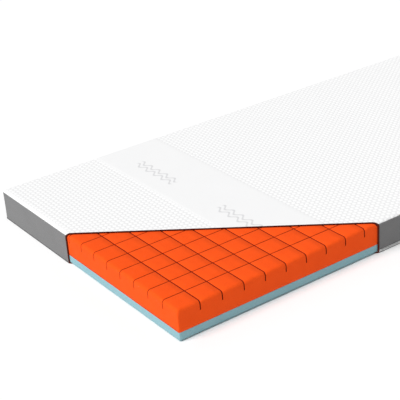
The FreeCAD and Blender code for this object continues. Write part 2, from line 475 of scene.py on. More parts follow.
# the dark red-brown given as cut is painted shade on the slit walls and floors
finishes["comfort_foam"] = foamMaterial(
    "orangeFoam", (0.98, 0.098, 0.008), (0.84, 0.066, 0.004), 900.0, 0.00035, cut=(0.22, 0.010, 0.002))
finishes["support_foam"] = foamMaterial(
    "blueFoam", (0.29, 0.50, 0.55), (0.20, 0.39, 0.45), 1100.0, 0.0003)
finishes["zip_metal"] = metalMaterial()
print("materials made:", len(finishes))


# the cover's sides as one open path, from the cut on the front, round the head end and
# the back, to the cut on the foot end
arcPoints = 13


def sidePathTable():
    radius = cover["cornerRadius"]
    x, y = halfLength - radius, halfWidth - radius
    points = [(-halfLength + cover["cutAlongFront"], -halfWidth)]
    outward = [(0, -1)]
    for centreX, centreY, first in ((x, -y, -90), (x, y, 0), (-x, y, 90)):
        for angle in np.radians(np.linspace(first, first + 90, arcPoints)):
            points.append((centreX + radius * math.cos(angle), centreY + radius * math.sin(angle)))
            outward.append((math.cos(angle), math.sin(angle)))
    points.append((-halfLength, -halfWidth + cover["cutAlongFoot"]))
    outward.append((-1, 0))
    points, outward = np.array(points, float), np.array(outward, float)
    along = np.concatenate([[0], np.cumsum(np.linalg.norm(np.diff(points, axis=0), axis=1))])
    return points, outward, along


pathPoints, pathOutward, pathAlong = sidePathTable()
pathLength = float(pathAlong[-1])
headFront = float(pathAlong[1])
backHead = float(pathAlong[2 * arcPoints])


def sidePlace(along):
    # point, outward direction and direction of travel at a distance along the sides
    along = np.asarray(along, float)
    point = np.stack([np.interp(along, pathAlong, pathPoints[:, k]) for k in (0, 1)], axis=-1)
    outward = np.stack([np.interp(along, pathAlong, pathOutward[:, k]) for k in (0, 1)], axis=-1)
    outward /= np.linalg.norm(outward, axis=-1, keepdims=True)
    travel = np.stack([-outward[..., 1], outward[..., 0]], axis=-1)
    return point, outward, travel


def backAt(x):
    # distance along the sides of a place on the back side
    return backHead + (float(pathPoints[2 * arcPoints, 0]) - x)


def sideStops(start, end, step):
    even = np.linspace(start, end, max(2, round((end - start) / step)) + 1)
    margin, closest = 1e-4, 4e-4
    bends = pathAlong[(pathAlong > start + margin) & (pathAlong < end - margin)]
    stops = np.sort(np.concatenate([even, bends]))
    keep = np.concatenate([[True], np.diff(stops) > closest])
    keep[-1] = True
    return stops[keep]


def slideToCut(points, travel, setback):
    # slides the points of an end along the side until they meet the cut plane
    move = -fromCut(points, setback) / (travel @ cutInward)
    points[:, :2] += travel * move[:, None]
    return points


def sweepSides(name, profile, start, end, step, material, shape=None, setback=cover["bindingWidth"]):
    # carries a closed profile of (inset, height) along the sides, with closed ends
    stops = sideStops(start, end, step)
    point, outward, travel = sidePlace(stops)
    rings = []
    for k, (inset, height) in enumerate(profile):
        push = 0.0 if shape is None else shape(k, stops, height)
        place = point - outward * (inset - push)[:, None] if np.ndim(push) else point - outward * inset
        rings.append(np.column_stack([place, np.full(len(stops), height)]))
    rings = np.array(rings).transpose(1, 0, 2)
    if start <= 0:
        rings[0] = slideToCut(rings[0], np.repeat(travel[:1], len(profile), 0), setback)
    if end >= pathLength:
        rings[-1] = slideToCut(rings[-1], np.repeat(travel[-1:], len(profile), 0), setback)
    return makeObject(name, rings.reshape(-1, 3), ringFaces(len(stops), len(profile)), material)


# grey side strips, pulled over the core, gathered a little at their seams
border = {
    "hemFold": 0.0005,
    "hemStitchRise": 0.0022,
    "seamTuck": 0.0007,
    "drape": 0.00045,
    "drapeSize": 0.16,
    "pucker": 0.00022,
    "puckerSize": 0.011,
    "step": 0.006,
    "hemEdge": 0.0011,
    "stitchDip": 0.0003,
    "puckerReach": (0.006, 0.005),
    "stripGap": 0.0002,
    "turnIn": 0.002,
}


def rollInset(height, thickness=0.0):
    # how far the rolled edge stands in from the cover's outside face at a height
    radius = cover["rollRadius"]
    rise = max(0.0, height - (coverHeight - radius))
    return radius - math.sqrt(max((radius - thickness) ** 2 - rise * rise, 0.0))


def borderProfile(hem):
    fold, tuck = border["hemFold"], border["seamTuck"]
    heights = [hem + 0.0012, hem + border["hemStitchRise"], hem + 0.0034]
    heights += list(np.linspace(hem + 0.008, coverHeight - cover["rollRadius"], 8))
    heights += [coverHeight - 0.0095, topSeam - 0.0012]
    outer = [(border["hemEdge"], hem), (fold * 0.4, hem + fold)]
    outer += [(rollInset(z) + (border["stitchDip"] if k == 1 else 0.0), z) for k, z in enumerate(heights)]
    outer.append((rollInset(topSeam) + tuck, topSeam))
    thick = cover["borderThick"]
    inner = [(rollInset(topSeam, thick), topSeam - 0.0001), (thick, coverHeight - cover["rollRadius"]),
             (thick, (hem + topSeam) / 2), (thick, hem + 0.0002)]
    return outer + inner, len(outer)


def borderStrip(name, start, end, hem, seed):
    profile, outerCount = borderProfile(hem)
    topReach, hemReach = border["puckerReach"]

    def shape(k, stops, height):
        wide = softNoise(stops, np.full_like(stops, height), border["drapeSize"], seed)
        rise = (height - hem) / (topSeam - hem)
        belly = math.sin(math.pi * min(max(rise, 0.0), 1.0))
        push = (wide - 1) * border["drape"] * belly
        if k < outerCount:
            near = math.exp(-(topSeam - height) / topReach) + math.exp(-(height - hem) / hemReach)
            fine = softNoise(stops, np.full_like(stops, height), border["puckerSize"], seed + 1)
            push = push - (fine + 1) / 2 * border["pucker"] * near
        return push

    return sweepSides(name, profile, start, end, border["step"], finishes["border_grey"], shape)


footSeam = backAt(-halfLength + cover["footStripReturn"])
stripGap = border["stripGap"]
strips = {
    "border_front": (0.0, headFront, hemHeight, 11),
    "border_head": (headFront + stripGap, backHead - stripGap, hemHeight, 23),
    "border_back": (backHead, footSeam - stripGap, hemHeight, 37),
    "border_foot": (footSeam, pathLength, footHem, 41),
}
for stripName, (start, end, hem, seed) in strips.items():
    strip = borderStrip(stripName.replace("border", "side_strip"), start, end, hem, seed)
    finishPiece(strip, stripName)
print("side strips made:", len(strips))


# grid lines of a foam block along one direction, with its slits marked
def foamLines(low, high, slits, width, roll, lip):
    edges = [low] + [x + side * width / 2 for x in slits for side in (-1, 1)] + [high]
    lines, isSlit = [], []
    for k in range(0, len(edges), 2):
        a, b = edges[k], edges[k + 1]
        bends = [roll * (1 - math.cos(math.radians(t))) for t in (0, 30, 50, 70, 90)]
        left = [a + d for d in bends] if k == 0 else [a, a + lip]
        right = [b - d for d in reversed(bends)] if k == len(edges) - 2 else [b - lip, b]
        inner = np.linspace(left[-1], right[0], 4)[1:-1].tolist()
        cell = left + inner + right
        lines += cell
        isSlit += [False] * (len(cell) - 1) + [True]
    return np.array(lines), isSlit[:-1]


comfort = {
    "cellsAlong": 30,
    "cellsAcross": 14,
    "crossSlit": 0.0030,
    "longSlit": 0.0020,
    "slitDepth": 0.0252,
    "edgeRoll": 0.009,
    "cornerRadius": 0.004,
    "lip": 0.0012,
    "lipDrop": 0.0008,
    "wander": 0.0004,
    "wallLevels": 3,
    "baseLevels": 4,
    "crown": 0.0003,
    "crownSize": 0.05,
    "wanderSize": 0.035,
    "unevenness": 0.00025,
    "unevenSize": 0.03,
    "coveredRadius": 0.009,
}


def comfortFoam():
    low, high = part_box("comfort_foam")
    pitch = (high.x - low.x) / comfort["cellsAlong"]
    cross = [low.x + pitch * i for i in range(1, comfort["cellsAlong"])]
    rowPitch = (high.y - low.y) / comfort["cellsAcross"]
    long = [low.y + rowPitch * i for i in range(1, comfort["cellsAcross"])]
    roll, lip = comfort["edgeRoll"], comfort["lip"]
    xs, slitX = foamLines(low.x, high.x, cross, comfort["crossSlit"], roll, lip)
    ys, slitY = foamLines(low.y, high.y, long, comfort["longSlit"], roll, lip)
    walls, base = comfort["wallLevels"], comfort["baseLevels"]
    floor = high.z - comfort["slitDepth"]
    index, grid = {}, []

    def corner(i, j, level):
        if (i, j, level) not in index:
            index[(i, j, level)] = len(grid)
            grid.append((i, j, level))
        return index[(i, j, level)]

    def inside(i, j):
        return 0 <= i < len(slitX) and 0 <= j < len(slitY)

    def raised(i, j):
        return inside(i, j) and not slitX[i] and not slitY[j]

    # the faces of the slit walls and floors, which the foam's material paints dark as shade
    faces, slitShadeFaces = [], set()
    for i in range(len(slitX)):
        for j in range(len(slitY)):
            level = walls if raised(i, j) else 0
            if not level:
                slitShadeFaces.add(len(faces))
            around = [(i, j), (i + 1, j), (i + 1, j + 1), (i, j + 1)]
            faces.append([corner(*place, level) for place in around])
            beyonds = [(i, j - 1), (i + 1, j), (i, j + 1), (i - 1, j)]
            for a, b, beyond in zip(around, around[1:] + around[:1], beyonds):
                outer = not inside(*beyond)
                if not outer and (raised(*beyond) or not level):
                    continue
                for step in range(-base if outer else 0, level):
                    if not outer:
                        slitShadeFaces.add(len(faces))
                    faces.append([corner(*a, step), corner(*b, step),
                                  corner(*b, step + 1), corner(*a, step + 1)])
    rim = [(i, 0) for i in range(len(xs))] + [(len(xs) - 1, j) for j in range(1, len(ys))]
    rim += [(i, len(ys) - 1) for i in range(len(xs) - 2, -1, -1)]
    rim += [(0, j) for j in range(len(ys) - 2, 0, -1)]
    faces.append([corner(i, j, -base) for i, j in reversed(rim)])

    grid = np.array(grid)
    x, y, level = xs[grid[:, 0]], ys[grid[:, 1]], grid[:, 2]
    dx = np.minimum(x - low.x, high.x - x)
    dy = np.minimum(y - low.y, high.y - y)
    dropX = roll - np.sqrt(np.maximum(roll ** 2 - np.maximum(roll - dx, 0) ** 2, 0))
    dropY = roll - np.sqrt(np.maximum(roll ** 2 - np.maximum(roll - dy, 0) ** 2, 0))
    drop = (dropX ** 3 + dropY ** 3) ** (1 / 3)
    nearCross = np.min(np.abs(x[:, None] - np.array(cross)), axis=1) - comfort["crossSlit"] / 2
    nearLong = np.min(np.abs(y[:, None] - np.array(long)), axis=1) - comfort["longSlit"] / 2
    lips = np.clip(1 - np.minimum(nearCross, nearLong) / lip, 0, 1) ** 2 * comfort["lipDrop"]
    crown = softNoise(x, y, comfort["crownSize"], 3) * comfort["crown"]
    top = high.z - drop - lips + crown * (drop < 0.001) - comfort["crown"]
    z = np.where(level >= 0, floor + (top - floor) * np.maximum(level, 0) / walls,
                 low.z + (floor - low.z) * (level + base) / base)
    # saw cuts wander a little, more at their mouths
    wander = comfort["wander"] * np.clip((z - floor) / comfort["slitDepth"], 0, 1)
    size = comfort["wanderSize"]
    x = x + wander * softNoise(y, np.round(x / pitch) * 0.31, size, 5) * (dx > 0.02)
    y = y + wander * softNoise(x, np.round(y / rowPitch) * 0.27, size, 6) * (dy > 0.02)
    # cut faces of the block aren't quite flat
    outerX, outerY = dx < 1e-6, dy < 1e-6
    uneven, size = comfort["unevenness"], comfort["unevenSize"]
    x = x + outerX * np.sign(-x) * (softNoise(y, z, size, 7) + 1) * uneven
    y = y + outerY * np.sign(-y) * (softNoise(x, z, size, 8) + 1) * uneven
    x, y = roundCorners(x, y, low, high, comfort["cornerRadius"])
    piece = makeObject("slit_comfort_foam", np.column_stack([x, y, z]), faces, finishes["comfort_foam"])
    # marks the slit faces for the painted shade in the slits
    shade = piece.data.attributes.new("paintedSlitShade", "FLOAT", "FACE")
    shade.data.foreach_set("value", [float(k in slitShadeFaces) for k in range(len(piece.data.polygons))])
    return piece


def roundCorners(x, y, low, high, radius):
    # the corner beside the cut-away keeps the small radius; the covered ones are rounder
    x, y = x.copy(), y.copy()
    for signX, edgeX in ((-1, low.x), (1, high.x)):
        for signY, edgeY in ((-1, low.y), (1, high.y)):
            r = radius if signX < 0 and signY < 0 else comfort["coveredRadius"]
            ax = r - (edgeX - x) * signX
            ay = r - (edgeY - y) * signY
            inCorner = (ax > 0) & (ay > 0)
            far = np.maximum(np.maximum(ax, ay), 1e-9)
            scale = np.where(inCorner, far / np.maximum(np.hypot(ax, ay), 1e-9), 1.0)
            x = np.where(inCorner, edgeX - signX * (r - ax * scale), x)
            y = np.where(inCorner, edgeY - signY * (r - ay * scale), y)
    return x, y


comfortPiece = finishPiece(comfortFoam(), "comfort_foam")
print("comfort foam made:", len(comfortPiece.data.polygons), "faces")


# a block built from rings of one outline; each ring is (inset, height)
def stackRings(name, outline, inward, rings, material, wobble=None):
    count = len(outline)
    points = []
    for inset, height in rings:
        ring = outline + inward * inset
        if wobble is not None:
            ring = ring + inward * wobble(outline, height)[:, None]
        points.append(np.column_stack([ring, np.full(count, height)]))
    return makeObject(name, np.concatenate(points), ringFaces(len(rings), count, stacked=True), material)


def boxOutline(low, high, step, nearRadius, farRadius):
    # a rectangle's outline with rounded corners, anticlockwise from the near corner
    points, inward = [], []
    corners = (((low.x, low.y), (1, 1), nearRadius, 180), ((high.x, low.y), (-1, 1), farRadius, 270),
               ((high.x, high.y), (-1, -1), farRadius, 0), ((low.x, high.y), (1, -1), farRadius, 90))
    for (x, y), (sx, sy), radius, first in corners:
        for angle in np.radians(np.linspace(first, first + 90, 7)):
            across, up = math.cos(angle), math.sin(angle)
            points.append((x + sx * radius + radius * across, y + sy * radius + radius * up))
            inward.append((-across, -up))
    fullPoints, fullInward = [], []
    for k, (p, n) in enumerate(zip(points, inward)):
        q, m = points[(k + 1) % len(points)], inward[(k + 1) % len(points)]
        gap = math.dist(p, q)
        parts = max(1, round(gap / step))
        for i in range(parts):
            f = i / parts
            fullPoints.append((p[0] + (q[0] - p[0]) * f, p[1] + (q[1] - p[1]) * f))
            fullInward.append((n[0] + (m[0] - n[0]) * f, n[1] + (m[1] - n[1]) * f))
    return np.array(fullPoints), np.array(fullInward)


support = {"step": 0.012, "edge": 0.0009, "cornerRadius": 0.004, "coveredRadius": 0.009,
           "unevenness": 0.00025, "unevenSize": 0.025}


def supportFoam():
    low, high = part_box("support_foam")
    radii = support["cornerRadius"], support["coveredRadius"]
    outline, inward = boxOutline(low, high, support["step"], *radii)
    edge = support["edge"]
    heights = np.linspace(low.z + edge, high.z - edge, 5)
    rings = [(edge, low.z), (edge * 0.3, low.z + edge * 0.3)]
    rings += [(0.0, z) for z in heights]
    rings += [(edge * 0.3, high.z - edge * 0.3), (edge, high.z)]

    def wobble(points, height):
        bumps = softNoise(points[:, 0] + points[:, 1], height, support["unevenSize"], 9)
        return (bumps + 1) * support["unevenness"]

    return stackRings("support_foam_base", outline, inward, rings, finishes["support_foam"], wobble)


supportPiece = finishPiece(supportFoam(), "support_foam")
print("support foam made")


# glue film between the two foams, with a slightly ragged edge
bond = {"cornerRadius": 0.004, "ragged": 0.0006, "raggedSize": 0.02}


def bondFilm():
    low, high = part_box("foam_bond_film")
    outline, inward = boxOutline(low, high, support["step"], bond["cornerRadius"], bond["cornerRadius"])

    def ragged(points, height):
        return (softNoise(points[:, 0] * 1.3, points[:, 1], bond["raggedSize"], 12) + 1) * bond["ragged"]

    return stackRings("glue_film", outline, inward, [(0, low.z), (0, high.z)], finishes["bond_film"], ragged)


bondPiece = finishPiece(bondFilm(), "foam_bond_film")


# white knit panel over the top: a flat cloth wrapped over the rolled edges, cut at the opening
panel = {"pointsPerPillow": 3, "bottomTuck": 0.0006, "tuckFrom": 0.004, "rimFade": 0.004, "rimDrop": 0.002,
         "smallest": 1e-8}


def wrapPlaces(flat, thickness=0.0):
    # carries points of the flat cloth round the cover's rolled edges
    radius = cover["rollRadius"]
    corner = np.array([halfLength - radius, halfWidth - radius])
    inner = np.clip(flat, -corner, corner)
    away = flat - inner
    length = np.linalg.norm(away, axis=1)
    direction = away / np.maximum(length, 1e-12)[:, None]
    angle = length / radius
    plan = inner + direction * ((radius - thickness) * np.sin(angle))[:, None]
    height = coverHeight - radius + (radius - thickness) * np.cos(angle)
    return np.column_stack([plan, height]), direction, length


def clothReach():
    radius = cover["rollRadius"]
    return radius * math.acos(1 - (coverHeight - topSeam) / radius)


def holdInside(flat, setback):
    # moves points that are past the cloth's edge or past the cut onto them
    reach = clothReach()
    for _ in range(3):
        _, direction, length = wrapPlaces(flat)
        flat = flat - direction * np.maximum(length - reach, 0)[:, None]
        places, direction, length = wrapPlaces(flat)
        past = fromCut(places, setback)
        side = length > 1e-6
        slide = np.where(side[:, None], np.column_stack([-direction[:, 1], direction[:, 0]]), cutInward)
        speed = slide @ cutInward
        speed = np.where(np.abs(speed) < 0.3, 1.0, speed)
        flat = np.where((past < 0)[:, None], flat - slide * (past / speed)[:, None], flat)
    return flat


def panelGrid():
    points = panel["pointsPerPillow"]
    columns, rows = knit["columnPitch"] / points, knit["rowPitch"] / points
    lean = -knit["drop"] * knit["rowPitch"] / points
    reach = clothReach()
    wide, deep = halfLength + reach, halfWidth + reach
    i = np.arange(-math.ceil(wide / columns), math.ceil(wide / columns) + 1)
    spare = int(abs(lean) * len(i) / 2 / rows) + 2
    j = np.arange(-math.ceil(deep / rows) - spare, math.ceil(deep / rows) + spare + 1)
    ii, jj = np.meshgrid(i, j, indexing="ij")
    flat = np.stack([ii * columns, jj * rows + ii * lean], axis=-1)
    shape = flat.shape[:2]
    flat = flat.reshape(-1, 2)
    places, _, length = wrapPlaces(flat)
    inside = (length <= reach) & (fromCut(places, cover["bindingWidth"]) >= 0)
    inside &= (np.abs(flat[:, 0]) <= wide) & (np.abs(flat[:, 1]) <= deep)
    order = np.arange(len(flat)).reshape(shape)
    quads = np.stack([order[:-1, :-1], order[1:, :-1], order[1:, 1:], order[:-1, 1:]], axis=-1).reshape(-1, 4)
    quads = quads[inside[quads].any(axis=1)]
    used, quads = np.unique(quads, return_inverse=True)
    flat = holdInside(flat[used], cover["bindingWidth"])
    quads = quads.reshape(-1, 4)
    # quads squeezed to nothing by the edge are left out, and points it has put together are one
    a, b = flat[quads[:, 2]] - flat[quads[:, 0]], flat[quads[:, 3]] - flat[quads[:, 1]]
    quads = quads[(a[:, 0] * b[:, 1] - a[:, 1] * b[:, 0]) / 2 > panel["smallest"]]
    flat, together = np.unique(np.round(flat, 7), axis=0, return_inverse=True)
    used, quads = np.unique(together.reshape(-1)[quads], return_inverse=True)
    faces = [[p for i, p in enumerate(quad) if p not in quad[:i]] for quad in quads.reshape(-1, 4).tolist()]
    return flat[used], faces


def makePillowTree():
    tree, given, made = newTree(
        "knitPillows", "GeometryNodeTree",
        [("Geometry", geometry, None), ("Column Pitch", number, 0.0129), ("Row Pitch", number, 0.0155),
         ("Drop", number, 0.4), ("Depth", number, 0.0008), ("Rim Height", number, 0.09)],
        [("Geometry", geometry)])
    x, y, z = splitPoint(tree, tree.nodes.new("GeometryNodeInputPosition").outputs[0])
    wave = latticeNodes(tree, x, y, given["Column Pitch"], given["Row Pitch"], given["Drop"])
    rise = mathNode(tree, "DIVIDE", mathNode(tree, "SUBTRACT", wave, 1.0), 1.5)
    fadeFrom = mathNode(tree, "SUBTRACT", given["Rim Height"], panel["rimFade"])
    rim = rampNode(tree, z, fadeFrom, given["Rim Height"])
    rise = times(tree, times(tree, rise, bandMask(tree, x)), rim)
    offset = tree.nodes.new("ShaderNodeVectorMath")
    offset.operation = "SCALE"
    link(tree, tree.nodes.new("GeometryNodeInputNormal").outputs[0], offset.inputs[0])
    link(tree, times(tree, rise, given["Depth"]), offset.inputs["Scale"])
    move = tree.nodes.new("GeometryNodeSetPosition")
    link(tree, given["Geometry"], move.inputs["Geometry"])
    link(tree, offset.outputs[0], move.inputs["Offset"])
    link(tree, move.outputs[0], made["Geometry"])
    return tree


def grown(piece, tree, values):
    # the mesh that a geometry tree makes from a piece; the piece keeps no modifier
    modifier = piece.modifiers.new("grow", "NODES")
    modifier.node_group = tree
    for item in tree.interface.items_tree:
        if item.item_type == "SOCKET" and item.in_out == "INPUT" and item.name in values:
            modifier[item.identifier] = values[item.name]
    graph = bpy.context.evaluated_depsgraph_get()
    mesh = bpy.data.meshes.new_from_object(piece.evaluated_get(graph))
    piece.modifiers.remove(modifier)
    return mesh


def meshPoints(mesh):
    points = np.zeros(len(mesh.vertices) * 3)
    mesh.vertices.foreach_get("co", points)
    return points.reshape(-1, 3)


def edgeLoop(faces):
    # the outline of a patch of faces, in order
    pairs = {pair for face in faces for pair in zip(face, face[1:] + face[:1])}
    follow = {a: b for a, b in pairs if (b, a) not in pairs}
    start = min(follow)
    loop = [start]
    while follow[loop[-1]] != start:
        loop.append(follow[loop[-1]])
    return loop


def topPanel():
    flat, faces = panelGrid()
    places, _, _ = wrapPlaces(flat)
    skin = makeObject("knit_skin", places, faces, finishes["knit_white"])
    mesh = grown(skin, makePillowTree(), {
        "Column Pitch": knit["columnPitch"], "Row Pitch": knit["rowPitch"], "Drop": knit["drop"],
        "Depth": knit["pillowDepth"], "Rim Height": coverHeight - panel["rimDrop"]})
    outer = meshPoints(mesh)
    bpy.data.objects.remove(skin)
    loop = edgeLoop(faces)
    # close the cloth underneath: a lip as thick as the knit, then one flat face
    lip, direction, length = wrapPlaces(flat[loop], cover["topThick"])
    lip[:, 2] += np.where(length > panel["tuckFrom"], panel["bottomTuck"], 0.0)
    under = wrapPlaces(flat[loop] - direction * length[:, None], cover["topThick"])[0]
    count, first = len(loop), len(outer)
    rolled = length > 1e-6
    deep = [first + count + k if rolled[k] else first + k for k in range(count)]
    for k in range(count):
        n = (k + 1) % count
        faces.append([loop[k], first + k, first + n, loop[n]])
        if rolled[k] or rolled[n]:
            ring = [first + k, deep[k], deep[n], first + n]
            faces.append([p for i, p in enumerate(ring) if p not in ring[:i]])
    faces.append(deep[::-1])
    return makeObject("knit_top_panel", np.concatenate([outer, lip, under]), faces, finishes["knit_white"])


topPiece = finishPiece(topPanel(), "cover_top_panel")
print("top panel made:", len(topPiece.data.polygons), "faces")


# padded underside, with its edge turned up to the zip
underside = {"footInset": 0.0015, "lipInset": 0.0003, "lipHeight": 0.0028, "lipRound": 0.0004,
             "stepInset": 0.0034, "edge": 0.0011, "step": 0.02, "footBlend": 0.002, "cutPoints": 22}


def undersidePanel():
    stops = sideStops(0.0, pathLength, underside["step"])
    point, outward, travel = sidePlace(stops)
    onFoot = np.clip((stops - footSeam) / underside["footBlend"], 0, 1)
    edgeInset = underside["lipInset"] + (underside["footInset"] - underside["lipInset"]) * onFoot
    step = np.full(len(stops), underside["stepInset"])
    edge, lip, soft = underside["edge"], underside["lipHeight"], underside["lipRound"]
    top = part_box("cover_underside_panel")[1].z
    rings = [(edgeInset + edge, 0.0), (edgeInset + edge * 0.3, edge * 0.3), (edgeInset, edge),
             (edgeInset, lip - soft), (edgeInset + soft, lip), (step, lip + 0.0001), (step, top)]
    cutStops = np.linspace(1, 0, underside["cutPoints"] + 2)[1:-1]
    loops = []
    for inset, height in rings:
        ring = np.column_stack([point - outward * inset[:, None], np.full(len(stops), height)])
        ring[:1] = slideToCut(ring[:1], travel[:1], cover["bindingWidth"])
        ring[-1:] = slideToCut(ring[-1:], travel[-1:], cover["bindingWidth"])
        across = ring[0] + (ring[-1] - ring[0]) * (1 - cutStops)[:, None]
        loops.append(np.concatenate([ring, across[::-1]]))
    faces = ringFaces(len(loops), len(loops[0]), stacked=True)
    return makeObject("underside_panel", np.concatenate(loops), faces, finishes["underside_white"])


undersidePiece = finishPiece(undersidePanel(), "cover_underside_panel")
print("underside made")


# tape bound over the cut edges of the cover, all round the opening; its dark red-brown is painted shade, the
# tone of the shade line along the cover's cut edge
binding = {"proud": 0.0003, "round": 0.0006, "flatStep": 0.012, "floorRound": 0.002, "cornerPoints": 8,
           "wallFrom": 0.008, "wallPoints": 6, "proudFrom": 0.003}


def bindingSection():
    # half of the cover's section, floor to top: outer inset and height, inner inset and height
    radius, thick = cover["rollRadius"], cover["borderThick"] + binding["proud"]
    shrink, low, middle = radius - cover["topThick"], binding["floorRound"], coverHeight - radius
    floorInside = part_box("cover_underside_panel")[1].z - 0.0001
    rows = []
    for angle in np.radians((0, 45, 90)):
        rows.append((low - low * math.sin(angle), low - low * math.cos(angle), thick, floorInside))
    for height in np.linspace(binding["wallFrom"], middle, binding["wallPoints"]):
        rows.append((0.0, height, thick, max(height, floorInside)))
    for angle in np.radians(np.linspace(12, 90, binding["cornerPoints"])):
        inward, up = math.cos(angle), math.sin(angle)
        rows.append((radius - radius * inward, middle + radius * up,
                     radius - shrink * inward, middle + shrink * up))
    return rows


def cutPlace(inset, height, depth, onFront):
    # a place at an inset from the foot end or the front side, depth in from the cut plane
    if onFront:
        along = (cover["cutAlongFoot"] - inset + cutInward[1] * depth) / -cutDirection[1]
    else:
        along = (inset - cutInward[0] * depth) / cutDirection[0]
    plan = cutFoot + cutDirection * along + cutInward * depth
    return np.array([plan[0], plan[1], height])


def bindingPiece():
    half = bindingSection()
    loop = [(row, False) for row in half] + [(row, True) for row in reversed(half)]
    width, proud, soft = cover["bindingWidth"], binding["proud"], binding["round"]
    rings = []
    for (outInset, outHeight, inInset, inHeight), onFront in loop:
        away = np.array([inInset - outInset, inHeight - outHeight])
        away = away / max(np.linalg.norm(away), 1e-9)
        lift = proud if outHeight > binding["proudFrom"] else 0.0
        section = []
        for depth, sink in ((0.0, soft), (soft * 0.4, soft * 0.25), (soft, 0), (width - soft, 0),
                            (width - soft * 0.3, soft * 0.3), (width, soft + proud)):
            section.append((depth, sink - lift, True))
        section += [(width, 0.0, False), (0.0, 0.0, False)]
        ring = []
        for depth, sink, onOuter in section:
            inset = outInset + away[0] * sink if onOuter else inInset
            height = outHeight + away[1] * sink if onOuter else inHeight
            ring.append(cutPlace(inset, max(height, 0.0), depth, onFront))
        rings.append(ring)
    # the long flat runs over the top and under the core get more rings
    full = []
    for k, ring in enumerate(rings):
        full.append(np.array(ring))
        following = np.array(rings[(k + 1) % len(rings)])
        gap = float(np.linalg.norm(following[0] - ring[0]))
        parts = max(1, round(gap / binding["flatStep"]))
        full += [np.array(ring) + (following - np.array(ring)) * i / parts for i in range(1, parts)]
    faces = ringFaces(len(full), len(full[0]), closed=True)
    return makeObject("cut_edge_binding", np.concatenate(full), faces, finishes["binding_dark"])


edgeBinding = finishPiece(bindingPiece(), "cutaway_edge_binding")
print("binding made")


# zip: two tapes, two rows of interlocked coils, stops, slider and pull
zipper = {
    "tapeThick": 0.0006,
    "planeInset": 0.0008,
    "height": 0.006,
    "coilPitch": 0.0018,
    "coilWire": 0.00034,
    "coilReach": 0.0004,
    "coilThick": 0.0022,
    "tapeUnderCoil": 0.0006,
    "startGap": 0.004,
    "endGap": 0.0045,
    "coilLean": 0.26,
    "tapeStep": 0.01,
}
zipEnd = backAt(cover["zipStart"])


def zipTape(name, node, low, high):
    inset, half = zipper["planeInset"], zipper["tapeThick"] / 2
    profile = [(inset - half, low), (inset - half, high), (inset + half, high), (inset + half, low)]
    piece = sweepSides(name, profile, 0.0, zipEnd, zipper["tapeStep"], finishes["zip_tape"])
    return finishPiece(piece, node)


lowerCoil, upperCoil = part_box("zip_coil_lower"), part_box("zip_coil_upper")
underCoil = zipper["tapeUnderCoil"]
tapes = [
    zipTape("zip_tape_low", "zip_tape_lower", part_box("zip_tape_lower")[0].z, lowerCoil[0].z + underCoil),
    zipTape("zip_tape_high", "zip_tape_upper", upperCoil[1].z - underCoil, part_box("zip_tape_upper")[1].z),
]


def makeRepeatTree(name, pivot):
    # sets a small item along a path, turned to follow it
    tree, given, made = newTree(
        name, "GeometryNodeTree",
        [("Geometry", geometry, None), ("Spacing", number, 0.003), ("Item", "NodeSocketObject", None),
         ("Material", "NodeSocketMaterial", None)],
        [("Geometry", geometry)])
    curve = tree.nodes.new("GeometryNodeMeshToCurve")
    link(tree, given["Geometry"], curve.inputs[0])
    even = tree.nodes.new("GeometryNodeResampleCurve")
    even.mode = "LENGTH"
    link(tree, curve.outputs[0], even.inputs["Curve"])
    link(tree, given["Spacing"], even.inputs["Length"])
    turn = tree.nodes.new("FunctionNodeAlignRotationToVector")
    turn.axis = "X"
    turn.pivot_axis = pivot
    link(tree, tree.nodes.new("GeometryNodeInputTangent").outputs[0], turn.inputs["Vector"])
    item = tree.nodes.new("GeometryNodeObjectInfo")
    link(tree, given["Item"], item.inputs["Object"])
    copies = tree.nodes.new("GeometryNodeInstanceOnPoints")
    link(tree, even.outputs[0], copies.inputs["Points"])
    link(tree, item.outputs["Geometry"], copies.inputs["Instance"])
    link(tree, turn.outputs[0], copies.inputs["Rotation"])
    real = tree.nodes.new("GeometryNodeRealizeInstances")
    link(tree, copies.outputs[0], real.inputs[0])
    paint = tree.nodes.new("GeometryNodeSetMaterial")
    link(tree, real.outputs[0], paint.inputs["Geometry"])
    link(tree, given["Material"], paint.inputs["Material"])
    link(tree, paint.outputs[0], made["Geometry"])
    return tree


repeatLevel = makeRepeatTree("repeatAlongLevelPath", "Z")
repeatAny = makeRepeatTree("repeatAlongPath", "AUTO")


def repeatAlong(name, path, item, spacing, material, tree):
    edges = [(i, i + 1) for i in range(len(path) - 1)]
    mesh = bpy.data.meshes.new("path")
    mesh.from_pydata([tuple(p) for p in np.asarray(path).tolist()], edges, [])
    base = addObject("path", mesh)
    made = grown(base, tree, {"Spacing": spacing, "Item": item, "Material": material})
    bpy.data.objects.remove(base)
    made.name = name
    made.polygons.foreach_set("use_smooth", [True] * len(made.polygons))
    return addObject(name, made)


def tube(name, line, radius, sides, material, closed=False):
    # a round bar along a short line, with closed ends or joined into a loop
    line = np.array(line, float)
    ahead = np.roll(line, -1, axis=0) - np.roll(line, 1, axis=0)
    if not closed:
        ahead[0], ahead[-1] = line[1] - line[0], line[-1] - line[-2]
    ahead /= np.linalg.norm(ahead, axis=1)[:, None]
    side = np.cross(ahead, [0.31, 0.17, 0.94])
    side /= np.linalg.norm(side, axis=1)[:, None]
    up = np.cross(side, ahead)
    radii = np.full(len(line), radius) if np.ndim(radius) == 0 else np.array(radius)
    angles = np.linspace(0, 2 * math.pi, sides, endpoint=False)
    points = np.concatenate([p + r * (np.outer(np.cos(angles), s) + np.outer(np.sin(angles), u))
                             for p, r, s, u in zip(line, radii, side, up)])
    return makeObject(name, points, ringFaces(len(line), sides, closed=closed), material)


